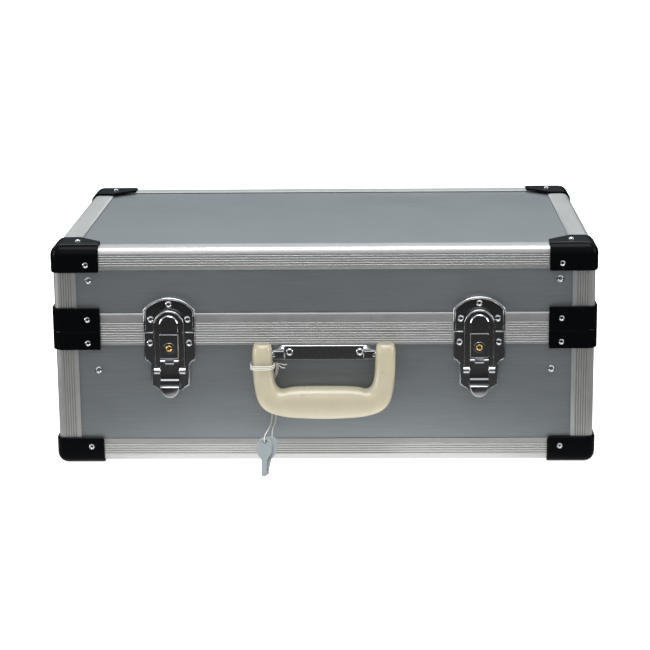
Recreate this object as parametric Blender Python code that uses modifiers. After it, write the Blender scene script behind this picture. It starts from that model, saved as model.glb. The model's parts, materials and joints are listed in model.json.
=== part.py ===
"""Aluminium-framed art supply case: hinged lid, two key draw latches, a swinging handle and its keys.

Run with: blender --background --python part.py
Everything is in metres, +Z up, the front of the case faces -Y.
"""
import math

import bmesh
import bpy
from mathutils import Matrix, Vector

# ---- driving dimensions -------------------------------------------------------------------------
CASE_WIDTH = 0.500          # over the edge rails, X
CASE_DEPTH = 0.330          # over the edge rails, Y
RAIL_BOTTOM = 0.0025        # underside of the bottom rails above the floor
RAIL_TOP = 0.2065           # top of the lid's rails
PARTING = 0.1275            # height where lid and base meet
GAP = 0.0003                # between touching pieces

SHEET = 0.0015              # wall of the aluminium sections
FLANGE = 0.0212             # width of an edge section's flange
EDGE_RADIUS = 0.006         # rounded outer edge of an edge section
EDGE_CUT = 2 * EDGE_RADIUS * (1 - math.sqrt(0.5))   # flat that just touches the rounded edge
LIP = 0.0032                # sloping strip along a flange's free edge
LIP_DROP = 0.0008
RIB_PITCH = 0.00224
RIB_DEPTH = 0.00055
RIB_START = 0.0074          # first groove, in from a section's outer corner
EDGE_RIBS = 5               # grooves along each flange of the rails and posts
LID_BAND_RIBS = 4
BASE_BAND_RIBS = 5
BAND_RIB_START = 0.0012     # first groove of the closing sections, from the parting line
BAND_LIP = 0.002
LID_BAND = 0.0168           # height of the lid's closing section
BASE_BAND = 0.0130          # height of the base's closing section
TONGUE = 0.004              # how far the base's inner tongue stands up into the lid
TONGUE_WALL = 0.0012
TONGUE_SKIRT = 0.009        # how far the tongue reaches down inside the base

PANEL = 0.005               # laminated panel
PANEL_INSET = SHEET + GAP   # panel face behind the rail face
LINING = 0.003
LINING_INSET = 0.0086       # lining's outer face behind the rail face

CAP_WALL = 0.0025           # plastic corner over the rails
CAP_ARM = 0.045
CAP_TOP_HEIGHT = 0.0255
CAP_RADIUS = 0.010
CAP_FLAP = 0.024            # width of a three-way corner's flap at the end of an arm
CAP_SEGMENTS = 5            # facets round each of the corners' rounded edges
TRIM_CHAMFER = 0.0012
TRIM_EDGE = 0.0050          # rails' vertical corner cut back under the plastic corner
TRIM_TIP = 0.0090
LID_CAP_HEIGHT = 0.0222
BASE_CAP_HEIGHT = 0.0167

LATCH_X = 0.1433            # latch centre line either side of the middle
LEVER_AXIS = (0.0050, 0.0995)     # (forward of the rail face, height)
HASP_AXIS = (0.0052, 0.0910)
LOCK_HEIGHT = 0.1130
LOCK_RADIUS = 0.0037
LOCK_FRONT = 0.0079         # the plug's face, forward of the rail face
LOCK_BACK = 0.0033
HOUSING_FRONT = 0.0075      # face of the lock housing
PLATE_PARTING_GAP = 0.0005  # latch plates stop this far from the parting line
CATCH_FRONT = 0.0032        # the catch's face, forward of the rail face
LEVER_PIN_RADIUS = 0.0014
HASP_PIN_RADIUS = 0.0013
HASP_HALF = 0.0145          # half the hasp's width
HASP_WINDOW = 0.0092        # half the width between the hasp's arms
HASP_BACK = 0.0036          # the hasp's thickness lies between these two
HASP_FRONT = 0.0064
DOME_HALF = 0.0088
DOME_FRONT = 0.0084
JOIN = 0.0002               # how far a welded-on piece reaches into its plate

HANDLE_AXIS = (0.0095, 0.1075)
HANDLE_LEG_INNER = 0.0476
HANDLE_PIN_RADIUS = 0.0030

HINGE_X = 0.130
HINGE_AXIS_BACK = 0.005     # hinge axis behind the rear rail face
KNUCKLE_RADIUS = 0.0035
HINGE_PIN_RADIUS = 0.0015

GRIP_FRONT = 0.0300         # the grip's front, forward of the rail face
STRING_RADIUS = 0.0005

HALF_X = CASE_WIDTH / 2
HALF_Y = CASE_DEPTH / 2
# The origin lies under the middle of the whole case, handle and hinges included.
CASE_Y = (GRIP_FRONT - HINGE_AXIS_BACK - KNUCKLE_RADIUS) / 2

# ---- views an outline can be drawn in -----------------------------------------------------------
# FRONT: outline (x, height), thickness forward of the rail face.
FRONT = Matrix(((1, 0, 0, 0), (0, 0, -1, -HALF_Y), (0, 1, 0, 0), (0, 0, 0, 1)))
# SIDE: outline (forward of the rail face, height), thickness along X.
SIDE = Matrix(((0, 0, -1, 0), (-1, 0, 0, -HALF_Y), (0, 1, 0, 0), (0, 0, 0, 1)))
# BACK: outline (x, height), thickness backward of the rear rail face.
BACK = Matrix(((-1, 0, 0, 0), (0, 0, 1, HALF_Y), (0, 1, 0, 0), (0, 0, 0, 1)))
# ABOVE: outline (x, forward of the rail face), thickness along Z.
ABOVE = Matrix(((1, 0, 0, 0), (0, -1, 0, -HALF_Y), (0, 0, 1, 0), (0, 0, 0, 1)))
PLAN = Matrix.Identity(4)

COLOURS = {
    "panel": ((0.36, 0.37, 0.39), 0.42, 0.85),
    "rail": ((0.72, 0.72, 0.71), 0.32, 0.95),
    "black_plastic": ((0.012, 0.012, 0.013), 0.38, 0.0),
    "chrome": ((0.70, 0.71, 0.72), 0.10, 1.0),
    "brass": ((0.75, 0.55, 0.22), 0.25, 1.0),
    "cream_plastic": ((0.78, 0.74, 0.60), 0.40, 0.0),
    "lining": ((0.05, 0.05, 0.055), 0.9, 0.0),
    "hinge_steel": ((0.60, 0.61, 0.62), 0.30, 1.0),
    "key_steel": ((0.62, 0.64, 0.65), 0.25, 1.0),
    "string": ((0.85, 0.84, 0.80), 0.8, 0.0),
}


# ---- scene helpers ------------------------------------------------------------------------------
def clear_scene():
    for old in list(bpy.data.objects):
        bpy.data.objects.remove(old, do_unlink=True)


def new_collection(name):
    group = bpy.data.collections.new(name)
    bpy.context.scene.collection.children.link(group)
    return group


def new_material(name):
    colour, roughness, metallic = COLOURS[name]
    material = bpy.data.materials.new(name)
    material.use_nodes = True
    shader = material.node_tree.nodes["Principled BSDF"]
    shader.inputs["Base Color"].default_value = (*colour, 1.0)
    shader.inputs["Roughness"].default_value = roughness
    shader.inputs["Metallic"].default_value = metallic
    return material


def joint_empty(name, x, y, z):
    """An empty on a joint's axis; y is measured from the middle of the case."""
    empty = bpy.data.objects.new(name, None)
    empty.empty_display_size = 0.01
    empty.location = (x, y + CASE_Y, z)
    parts.objects.link(empty)
    return empty


def add_part(name, mesh, material, parent, location=(0, 0, 0), rotation=(0, 0, 0)):
    """Put a mesh in the case's frame as the node called name, riding on the parent empty."""
    if not mesh.materials:
        mesh.materials.append(materials[material])
    part = bpy.data.objects.new(name, mesh)
    part.location = Vector(location) + Vector((0, CASE_Y, 0))
    part.rotation_euler = rotation
    part.parent = parent
    part.matrix_parent_inverse = Matrix.Translation(parent.location).inverted()
    parts.objects.link(part)
    mesh.shade_smooth()
    mesh.set_sharp_from_angle(angle=math.radians(32))
    return part


def evaluated_mesh(scratch):
    """The mesh that a scratch object's curve or modifiers make, with its seams welded."""
    bpy.context.view_layer.update()
    graph = bpy.context.evaluated_depsgraph_get()
    mesh = bpy.data.meshes.new_from_object(scratch.evaluated_get(graph))
    bm = bmesh.new()
    bm.from_mesh(mesh)
    bmesh.ops.remove_doubles(bm, verts=bm.verts, dist=0.00001)
    bmesh.ops.recalc_face_normals(bm, faces=bm.faces)
    bm.to_mesh(mesh)
    bm.free()
    mesh.materials.clear()
    bpy.data.objects.remove(scratch, do_unlink=True)
    return mesh


def scratch_object(name, data):
    scratch = bpy.data.objects.new(name, data)
    cutters.objects.link(scratch)
    scratch.hide_render = True
    scratch.display_type = "WIRE"
    return scratch


# ---- solids -------------------------------------------------------------------------------------
def to_mesh(name, bm):
    bmesh.ops.recalc_face_normals(bm, faces=bm.faces)
    mesh = bpy.data.meshes.new(name)
    bm.to_mesh(mesh)
    bm.free()
    return mesh


def cube_bmesh(low, high):
    bm = bmesh.new()
    size = Vector(high) - Vector(low)
    middle = (Vector(high) + Vector(low)) / 2
    bmesh.ops.create_cube(bm, size=1.0, matrix=Matrix.Translation(middle) @ Matrix.Diagonal((*size, 1)))
    return bm


def box(low, high):
    return to_mesh("box", cube_bmesh(low, high))


def slice_off(bm, normal, distance):
    """Keep only what lies within distance along normal, and close the cut."""
    direction = Vector(normal)
    cut = bmesh.ops.bisect_plane(
        bm, geom=bm.verts[:] + bm.edges[:] + bm.faces[:], dist=0.000001,
        plane_co=direction * (distance / direction.length_squared), plane_no=direction, clear_outer=True)
    rim = [piece for piece in cut["geom_cut"] if isinstance(piece, bmesh.types.BMEdge)]
    bmesh.ops.contextual_create(bm, geom=rim)


def extruded(outlines, low, high, view):
    """Flat outlines (the first is the outside, others are windows) given a thickness in a view."""
    curve = bpy.data.curves.new("outline", "CURVE")
    curve.dimensions = "2D"
    curve.fill_mode = "BOTH"
    curve.extrude = (high - low) / 2
    for outline in outlines:
        spline = curve.splines.new("POLY")
        spline.points.add(len(outline) - 1)
        for point, (u, v) in zip(spline.points, outline):
            point.co = (u, v, 0, 1)
        spline.use_cyclic_u = True
    mesh = evaluated_mesh(scratch_object("outline", curve))
    mesh.transform(view @ Matrix.Translation((0, 0, (high + low) / 2)))
    return mesh


def cylinder(axis, centre, radius, length, segments=16):
    bm = bmesh.new()
    turn = {"X": Matrix.Rotation(math.pi / 2, 4, "Y"), "Y": Matrix.Rotation(math.pi / 2, 4, "X")}
    bmesh.ops.create_cone(
        bm, cap_ends=True, segments=segments, radius1=radius, radius2=radius, depth=length,
        matrix=Matrix.Translation(centre) @ turn.get(axis, Matrix.Identity(4)))
    return to_mesh("cylinder", bm)


def combined(mesh, steps=(), bevel=0.0, bevel_angle=50):
    """A mesh joined with, cut or trimmed by others, then bevelled along its sharp edges."""
    body = scratch_object("body", mesh)
    tools = []
    for operation, tool_mesh in steps:
        tool = scratch_object("tool", tool_mesh)
        tools.append(tool)
        modifier = body.modifiers.new("combine", "BOOLEAN")
        modifier.operation = operation
        modifier.object = tool
        modifier.solver = "EXACT"
    if bevel:
        modifier = body.modifiers.new("edges", "BEVEL")
        modifier.width = bevel
        modifier.segments = 1
        modifier.limit_method = "ANGLE"
        modifier.angle_limit = math.radians(bevel_angle)
    result = evaluated_mesh(body)
    for tool in tools:
        bpy.data.objects.remove(tool, do_unlink=True)
    return result


def arc(centre_u, centre_v, radius, start, end, steps):
    """Points along an arc, angles in degrees, both ends included."""
    turns = [math.radians(start + (end - start) * i / steps) for i in range(steps + 1)]
    return [(centre_u + radius * math.cos(t), centre_v + radius * math.sin(t)) for t in turns]


def mitred_frame(profile, trims=()):
    """A closed profile of (outward, height) points carried round the case with mitred corners."""
    bm = bmesh.new()
    start = [bm.verts.new((HALF_Y + outward, HALF_Y + outward, height)) for outward, height in profile]
    edges = [bm.edges.new((a, b)) for a, b in zip(start, start[1:] + start[:1])]
    bmesh.ops.spin(bm, geom=start + edges, axis=(0, 0, 1), cent=(0, 0, 0), angle=2 * math.pi,
                   steps=4, use_merge=True)
    bmesh.ops.remove_doubles(bm, verts=bm.verts, dist=0.00001)
    for vert in bm.verts:
        vert.co.x += math.copysign(HALF_X - HALF_Y, vert.co.x)
    bmesh.ops.recalc_face_normals(bm, faces=bm.faces)
    for side_x in (-1, 1):
        for side_y in (-1, 1):
            for height_sign, cut_back, height in trims:
                reach = HALF_X + HALF_Y + height_sign * height - cut_back
                slice_off(bm, (side_x, side_y, height_sign), reach)
    return to_mesh("frame", bm)


# ---- aluminium sections -------------------------------------------------------------------------
def ribbed_face(start, grooves, free_edge, lip):
    """(distance, depth) points along a face, from the free edge in to where the ribs start."""
    points = [(free_edge, LIP_DROP), (free_edge - lip, 0.0)] if lip else [(free_edge, 0.0)]
    for groove in reversed(range(grooves)):
        middle = start + groove * RIB_PITCH
        points += [(middle + RIB_PITCH / 4, 0.0), (middle, RIB_DEPTH), (middle - RIB_PITCH / 4, 0.0)]
    return points


def edge_section():
    """L section of the edge rails: (outward, height below the top), ribs on the upright flange."""
    upright = [(-depth, -along) for along, depth in ribbed_face(RIB_START, EDGE_RIBS, FLANGE, LIP)]
    corner = arc(-EDGE_RADIUS, -EDGE_RADIUS, EDGE_RADIUS, 0, 90, 3)
    flat = [(-(FLANGE - LIP), 0.0), (-FLANGE, -LIP_DROP), (-FLANGE, -SHEET)]
    inside = EDGE_RADIUS - (EDGE_RADIUS - SHEET) * math.tan(math.pi / 8)
    return upright + corner + flat + [(-inside, -SHEET), (-SHEET, -inside), (-SHEET, -FLANGE)]


def post_section():
    """L section of the corner posts in plan, corner at the origin, ribs on both flanges."""
    ribs = ribbed_face(RIB_START, EDGE_RIBS, FLANGE, LIP)
    one = [(-along, -depth) for along, depth in ribs]
    other = [(-depth, -along) for along, depth in reversed(ribs)]
    corner = list(reversed(arc(-EDGE_RADIUS, -EDGE_RADIUS, EDGE_RADIUS, 0, 90, 3)))
    inside = EDGE_RADIUS - (EDGE_RADIUS - SHEET) * math.tan(math.pi / 8)
    back = [(-SHEET, -FLANGE), (-SHEET, -inside), (-inside, -SHEET), (-FLANGE, -SHEET)]
    return one + corner + other + back


def lid_closing_section():
    """Outer flange with ribs near the parting line, and a web the panels' lower edge stands on."""
    low = PARTING + GAP / 2
    ribs = ribbed_face(BAND_RIB_START, LID_BAND_RIBS, LID_BAND, BAND_LIP)
    face = [(-depth, low + along) for along, depth in reversed(ribs)]
    face = [(0.0, low)] + face
    web = low + GAP
    inner = PANEL_INSET + PANEL - 0.0002
    return face + [(-SHEET, low + LID_BAND), (-SHEET, web + SHEET), (-inner, web + SHEET), (-inner, web),
                   (-SHEET, web), (-SHEET, low)]


def base_closing_section():
    """Outer ribbed flange, a web over the panels' upper edge, and an inner tongue up into the lid."""
    high = PARTING - GAP / 2
    ribs = ribbed_face(BAND_RIB_START, BASE_BAND_RIBS, BASE_BAND, 0.0)
    face = [(-depth, high - along) for along, depth in reversed(ribs)]
    tongue_out = PANEL_INSET + PANEL + GAP
    tongue_in = tongue_out + TONGUE_WALL
    web = high - SHEET
    skirt = high - TONGUE_SKIRT
    face = [(0.0, high)] + face
    return face + [(-SHEET, high - BASE_BAND), (-SHEET, web), (-tongue_out, web), (-tongue_out, skirt),
                   (-tongue_in, skirt), (-tongue_in, PARTING + TONGUE), (-tongue_out, PARTING + TONGUE),
                   (-tongue_out, high)]


def shifted(points, height):
    return [(u, v + height) for u, v in points]


def upturned(points, height):
    return [(u, height - v) for u, v in points]


# ---- plastic corners ----------------------------------------------------------------------------
def three_way_cap():
    """Corner over three rails; its own origin is the rails' outer corner, the case lies at -x -y -z."""
    arm_end = CAP_WALL - CAP_ARM
    bm = cube_bmesh((arm_end, arm_end, CAP_WALL - CAP_TOP_HEIGHT), (CAP_WALL,) * 3)
    tip = max(bm.verts, key=lambda vert: sum(vert.co))
    bmesh.ops.bevel(bm, geom=list(tip.link_edges), offset=CAP_RADIUS, offset_type="OFFSET",
                    segments=CAP_SEGMENTS, profile=0.5, affect="EDGES", clamp_overlap=True)
    slice_off(bm, (-1, -1, 0), CAP_ARM + CAP_FLAP - 2 * CAP_WALL)
    outside = to_mesh("cap", bm)
    hollow = cube_bmesh((-2 * CAP_ARM,) * 3, (GAP,) * 3)
    for normal in ((1, 0, 1), (0, 1, 1), (1, 1, 0)):
        slice_off(hollow, normal, 2 * GAP - EDGE_CUT)
    slice_off(hollow, (1, 1, 1), 3 * GAP - TRIM_TIP)
    return combined(outside, [("DIFFERENCE", to_mesh("hollow", hollow))])


def two_way_cap(height):
    """Corner round the closing section, standing on its own origin, the case at -x -y."""
    reach = CAP_WALL - CAP_ARM
    round_edge = arc(CAP_WALL - CAP_RADIUS, CAP_WALL - CAP_RADIUS, CAP_RADIUS, 90, 0, CAP_SEGMENTS)
    back = GAP - EDGE_CUT
    outline = [(reach, CAP_WALL)] + round_edge + [(CAP_WALL, reach), (GAP, reach), (GAP, back), (back, GAP),
                                                  (reach, GAP)]
    return combined(extruded([outline], 0.0, height, PLAN), bevel=TRIM_CHAMFER)


# ---- latches ------------------------------------------------------------------------------------
def strike_plate():
    """Arched plate on the lid with the catch that the hasp comes down over."""
    low = PARTING + PLATE_PARTING_GAP
    half = 0.0239
    shoulder = 0.1480           # height where the arch starts
    rise = 0.0115
    radius = (half ** 2 + rise ** 2) / (2 * rise)
    spread = math.degrees(math.asin(half / radius))
    top = arc(0.0, shoulder + rise - radius, radius, 90 - spread, 90 + spread, 8)
    plate = extruded([[(-half, low), (half, low)] + top], GAP, SHEET, FRONT)
    catch = extruded([[(-0.008, 0.1305), (0.008, 0.1305), (0.006, 0.1410), (-0.006, 0.1410)]],
                     SHEET - JOIN, CATCH_FRONT, FRONT)
    return combined(plate, [("UNION", catch)])


def base_plate():
    """Waisted plate on the base with the lock housing and the lever's fixed knuckle and pin."""
    wide = 0.0237
    narrow = 0.0177
    top = PARTING - PLATE_PARTING_GAP
    right = [(wide, top), (wide, 0.1030)] + arc(wide + 0.0005, 0.0940, 0.0065, 100, 180, 4)
    right += [(narrow, 0.0765), (0.0098, 0.0718)]
    outline = right + [(-u, v) for u, v in reversed(right)]
    plate = extruded([outline], GAP, SHEET, FRONT)
    forward, height = LEVER_AXIS
    back = 0.0009
    half = 0.0088
    housing = box((-half, -HALF_Y - HOUSING_FRONT, 0.1029), (half, -HALF_Y - back, 0.1262))
    housing = combined(housing, bevel=0.0008)
    knuckle_outline = [(0.0011, height - 0.0010)] + arc(forward, height, 0.0026, -160, 30, 6) + [
        (forward + 0.0015, 0.1038), (0.0011, 0.1038)]
    knuckle = extruded([knuckle_outline], -0.004, 0.004, SIDE)
    pin = cylinder("X", (0, -HALF_Y - forward, height), LEVER_PIN_RADIUS, 0.0170, 12)
    seat = cylinder("Y", (0, -HALF_Y - 0.0060, LOCK_HEIGHT), LOCK_RADIUS + GAP, 0.0060, 20)
    return combined(plate, [("UNION", housing), ("UNION", knuckle), ("UNION", pin), ("DIFFERENCE", seat)])


def lock_cylinder():
    """Lock plug with its keyway, turning in the housing."""
    middle = (LOCK_FRONT + LOCK_BACK) / 2
    plug = cylinder("Y", (0, -HALF_Y - middle, LOCK_HEIGHT), LOCK_RADIUS, LOCK_FRONT - LOCK_BACK, 20)
    half_slot = 0.0006
    keyway = box((-half_slot, -HALF_Y - 0.0090, LOCK_HEIGHT - 0.0024),
                 (half_slot, -HALF_Y - 0.0045, LOCK_HEIGHT + 0.0018))
    return combined(plug, [("DIFFERENCE", keyway)])


def latch_lever():
    """Lever with its finger tab: a side outline trimmed to the front outline, knuckles and hasp pins."""
    forward, height = LEVER_AXIS
    hasp_forward, hasp_height = HASP_AXIS
    side = [(0.0044, 0.0966), (0.0044, 0.0790), (0.0052, 0.0735), (0.0078, 0.0655), (0.0100, 0.0660),
            (0.0080, 0.0735), (0.0086, 0.0775), (0.0086, 0.0822), (0.0074, 0.0840), (0.0074, 0.0966)]
    body = extruded([side], -0.012, 0.012, SIDE)
    half = 0.0084
    tab = [(0.0093 * math.cos(t), 0.0765 + 0.0108 * math.sin(t))
           for t in [math.radians(-18 * i) for i in range(1, 10)]]
    front = [(-half, 0.1100), (-half, 0.0830), (-0.0093, 0.0765)] + list(reversed(tab)) + [
        (0.0093, 0.0765), (half, 0.0830), (half, 0.1100)]
    trim = extruded([front], 0.0, 0.020, FRONT)
    steps = [("INTERSECT", trim)]
    for side_x in (-1, 1):
        lug = arc(forward, height, 0.0028, -30, 210, 8) + [(0.0044, 0.0940), (0.0074, 0.0940)]
        inner, outer = sorted((side_x * 0.0043, side_x * half))
        steps.append(("UNION", extruded([lug], inner, outer, SIDE)))
    pins = cylinder("X", (0, -HALF_Y - hasp_forward, hasp_height), HASP_PIN_RADIUS, 0.0250, 12)
    bore = cylinder("X", (0, -HALF_Y - forward, height), LEVER_PIN_RADIUS + GAP, 0.030, 12)
    return combined(body, steps + [("UNION", pins), ("DIFFERENCE", bore)])


def latch_hasp():
    """Arched hasp: two arms on the lever's pins, closed over the catch by a domed head."""
    forward, height = HASP_AXIS
    half = HASP_HALF
    window = HASP_WINDOW
    centre = 0.1343             # of the head's arch
    low = height - 0.002
    sill = 0.1274               # lower edge of the head, between the arms
    head = list(reversed(arc(0, centre, half, 0, 180, 10)))
    outline = [(-half, low), (-half, centre)] + head[1:]
    outline += [(half, low), (window, low), (window, sill), (-window, sill), (-window, low)]
    frame = extruded([outline], HASP_BACK, HASP_FRONT, FRONT)
    dome_outline = [(-DOME_HALF, 0.1280), (DOME_HALF, 0.1280)] + arc(0, 0.1352, DOME_HALF, 0, 180, 8)
    dome = combined(extruded([dome_outline], HASP_FRONT - 2 * JOIN, DOME_FRONT, FRONT), bevel=0.0010)
    steps = [("UNION", dome)]
    for side_x in (-1, 1):
        inner, outer = sorted((side_x * window, side_x * half))
        lug = cylinder("X", ((inner + outer) / 2, -HALF_Y - forward, height), 0.0031, outer - inner, 16)
        steps.append(("UNION", lug))
    bore = cylinder("X", (0, -HALF_Y - forward, height), HASP_PIN_RADIUS + GAP, 0.040, 12)
    return combined(frame, steps + [("DIFFERENCE", bore)])


# ---- handle -------------------------------------------------------------------------------------
def handle_bracket():
    """Strap screwed to the front panel, its ends stepping out to the handle's pivot pins."""
    forward, height = HANDLE_AXIS
    strap_half = 0.0410
    strap_front = 0.0010
    low = height - 0.0073
    shoulder = height + 0.0058
    top = height + 0.0064
    neck_half = HANDLE_LEG_INNER - 0.0004
    neck_radius = 0.0036
    back = GAP - PANEL_INSET
    strap = [(-strap_half, low), (strap_half, low), (strap_half, shoulder), (strap_half - 0.002, top),
             (-strap_half + 0.002, top), (-strap_half, shoulder)]
    plate = combined(extruded([strap], back, strap_front, FRONT), bevel=0.0006)
    steps = []
    for side_x in (-1, 1):
        inner, outer = sorted((side_x * (strap_half - 0.004), side_x * neck_half))
        arm = [(back, height - neck_radius), (forward + neck_radius, height - neck_radius),
               (forward + neck_radius, height + neck_radius), (back, height + neck_radius)]
        steps.append(("UNION", extruded([arm], -outer, -inner, SIDE)))
        # slope the arm's front back to the strap
        start = side_x * (strap_half - 0.005)
        end = side_x * (neck_half - 0.0035)
        beyond = forward + 0.010
        slope = [(start, strap_front), (end, forward - 0.001), (end, beyond), (start, beyond)]
        steps.append(("DIFFERENCE", extruded([slope], height - 0.01, height + 0.01, ABOVE)))
    for side_x in (-1, 1):
        middle = (side_x * (neck_half + 0.0045), -HALF_Y - forward, height)
        steps.append(("UNION", cylinder("X", middle, HANDLE_PIN_RADIUS, 0.0110, 12)))
    return combined(plate, steps)


def ring(middle, across, width, depth):
    """Eight points round the handle: middle (x, forward, height), across is the in-plane direction."""
    x, forward, height = middle
    points = []
    for u, v in ((-1, -0.5), (-0.5, -1), (0.5, -1), (1, -0.5), (1, 0.5), (0.5, 1), (-0.5, 1), (-1, 0.5)):
        points.append((x + across[0] * u * width / 2, -HALF_Y - forward - v * depth / 2,
                       height + across[1] * u * width / 2))
    return points


def handle_grip():
    """U-shaped moulded handle lofted down one leg and along half the grip, mirrored and smoothed."""
    forward, height = HANDLE_AXIS
    leg_x = HANDLE_LEG_INNER + 0.0092
    # (middle, direction across the section, width, depth)
    stations = [
        ((leg_x, forward, height + 0.0100), (1, 0), 0.0140, 0.0110),
        ((leg_x, forward, height + 0.0080), (1, 0), 0.0185, 0.0185),
        ((leg_x, forward, height - 0.0010), (1, 0), 0.0192, 0.0215),
        ((leg_x - 0.0004, forward + 0.0024, height - 0.0160), (1, -0.02), 0.0190, 0.0195),
        ((leg_x - 0.0018, forward + 0.0050, height - 0.0285), (1, -0.06), 0.0200, 0.0215),
        ((leg_x - 0.0070, forward + 0.0066, height - 0.0420), (0.75, -0.66), 0.0285, 0.0255),
        ((leg_x - 0.0210, forward + 0.0067, height - 0.0438), (0.16, -0.98), 0.0290, 0.0270),
        ((leg_x - 0.0345, forward + 0.0068, height - 0.0438), (0.05, -1), 0.0302, 0.0275),
        ((0.0, forward + 0.0068, height - 0.0443), (0, -1), 0.0316, 0.0280),
    ]
    bm = bmesh.new()
    rings = []
    for middle, across, width, depth in stations:
        rings.append([bm.verts.new(point) for point in ring(middle, across, width, depth)])
    for first, second in zip(rings, rings[1:]):
        for i in range(len(first)):
            j = (i + 1) % len(first)
            bm.faces.new((first[i], first[j], second[j], second[i]))
    bm.faces.new(rings[0])
    half = scratch_object("half", to_mesh("half", bm))
    mirror = half.modifiers.new("other half", "MIRROR")
    mirror.merge_threshold = 0.0001
    smooth = half.modifiers.new("smooth", "SUBSURF")
    smooth.levels = 1
    smooth.render_levels = 1
    solid = evaluated_mesh(half)
    axis_y = -HALF_Y - forward
    stretch = (GRIP_FRONT - forward) / (axis_y - min(vert.co.y for vert in solid.vertices))
    for vert in solid.vertices:
        if vert.co.y < axis_y:
            vert.co.y = axis_y + (vert.co.y - axis_y) * stretch
    bores = []
    for side_x in (-1, 1):
        middle = (side_x * (HANDLE_LEG_INNER + 0.0040), -HALF_Y - forward, height)
        bores.append(("DIFFERENCE", cylinder("X", middle, HANDLE_PIN_RADIUS + GAP, 0.0140, 12)))
    return combined(solid, bores)


# ---- hinges -------------------------------------------------------------------------------------
def hinge_leaf(direction, knuckle_spans, with_pin):
    """Leaf on the rear face going up (1) or down (-1) from the axis, with its own knuckles."""
    half = 0.0240
    near = 0.0045
    far = 0.0270
    corner = 0.0040
    outline = [(-half, near), (half, near), (half, far - corner), (half - corner, far),
               (-half + corner, far), (-half, far - corner)]
    flip = [(u, PARTING + direction * v) for u, v in outline]
    plate = extruded([flip], GAP, SHEET, BACK)
    steps = []
    middle_y = HALF_Y + HINGE_AXIS_BACK
    web_back = HALF_Y + 0.0004
    web_front = HALF_Y + 0.0032
    for start, end in knuckle_spans:
        centre = ((start + end) / 2, middle_y, PARTING)
        width = end - start
        low_z, high_z = sorted((PARTING + direction * 0.0006, PARTING + direction * (near + 0.0010)))
        web = box((start + GAP, web_back, low_z), (end - GAP, web_front, high_z))
        steps.append(("UNION", web))
        steps.append(("UNION", cylinder("X", centre, KNUCKLE_RADIUS, width, 14)))
    axis = (0, middle_y, PARTING)
    if with_pin:
        steps.append(("UNION", cylinder("X", axis, HINGE_PIN_RADIUS, 0.0470, 12)))
    else:
        steps.append(("DIFFERENCE", cylinder("X", axis, HINGE_PIN_RADIUS + GAP, 0.0600, 12)))
    return combined(plate, steps)


# ---- keys and string ----------------------------------------------------------------------------
KNOT = (-0.0437, 0.0040, 0.0975)                          # (x, forward, height)
KEY_TIP = (-0.0548, 0.0480, 0.0022)
KEY_LEAN = math.radians(27)
KEY_HOLE_UP = 0.0318                                      # string hole above the key's tip
BACK_KEY_SHIFT = (0.0012, -0.0045)                        # second key beside and behind the first
BACK_KEY_TURN = -0.14
# The string from the knot, down behind the grip, through both keys and back up (x, forward, height).
STRING_ROUTE = [
    (-0.0445, 0.0040, 0.0968), (-0.0444, 0.0016, 0.0916), (-0.0462, 0.0000, 0.0858),
    (-0.0494, -0.0006, 0.0790), (-0.0508, -0.0006, 0.0700), (-0.0504, -0.0004, 0.0600),
    (-0.0494, 0.0008, 0.0515), (-0.0492, 0.0056, 0.0455), (-0.0498, 0.0126, 0.0424),
    (-0.0512, 0.0208, 0.0402), (-0.0528, 0.0286, 0.0388), (-0.0542, 0.0340, 0.0374),
    (-0.0549, 0.0370, 0.0344), (-0.0549, 0.0356, 0.0316), (-0.0547, 0.0332, 0.0303),
    (-0.0536, 0.0316, 0.0296), (-0.0516, 0.0312, 0.0299), (-0.0498, 0.0308, 0.0306),
    (-0.0492, 0.0290, 0.0302), (-0.0488, 0.0266, 0.0300), (-0.0484, 0.0242, 0.0324),
    (-0.0482, 0.0216, 0.0364), (-0.0474, 0.0162, 0.0398), (-0.0458, 0.0096, 0.0428),
    (-0.0454, 0.0034, 0.0474), (-0.0466, 0.0002, 0.0535), (-0.0484, -0.0005, 0.0610),
    (-0.0492, -0.0007, 0.0700), (-0.0478, -0.0006, 0.0790), (-0.0448, 0.0000, 0.0856),
    (-0.0430, 0.0016, 0.0914), (-0.0429, 0.0038, 0.0966),
]
STRAND_SPACING = 0.0022
CURVE_STEPS = 16
LOOP_POINTS = 16
LOOP_MIDDLE = (HANDLE_LEG_INNER + 0.0091, 0.0017, -0.0095)   # from the handle's axis; x from the middle
LOOP_REACH = (0.0108, 0.0121)                                # half width and half depth of the loop


def smooth_route(points, closed=False):
    """Points at an even spacing along one smooth curve through the route's own points."""
    curve = [Vector(point) for point in points]
    count = len(curve)
    dense = []
    spans = count if closed else count - 1
    for i in range(spans):
        if closed:
            before, here, after, last = (curve[(i + k) % count] for k in (-1, 0, 1, 2))
        else:
            before, here, after, last = (curve[min(max(i + k, 0), count - 1)] for k in (-1, 0, 1, 2))
        for step in range(CURVE_STEPS):
            t = step / CURVE_STEPS
            dense.append(0.5 * (2 * here + (after - before) * t
                                + (2 * before - 5 * here + 4 * after - last) * t ** 2
                                + (3 * here - before - 3 * after + last) * t ** 3))
    if not closed:
        dense.append(curve[-1])
    even = [dense[0]]
    for point in dense[1:]:
        if (point - even[-1]).length >= STRAND_SPACING:
            even.append(point)
    return even


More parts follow.
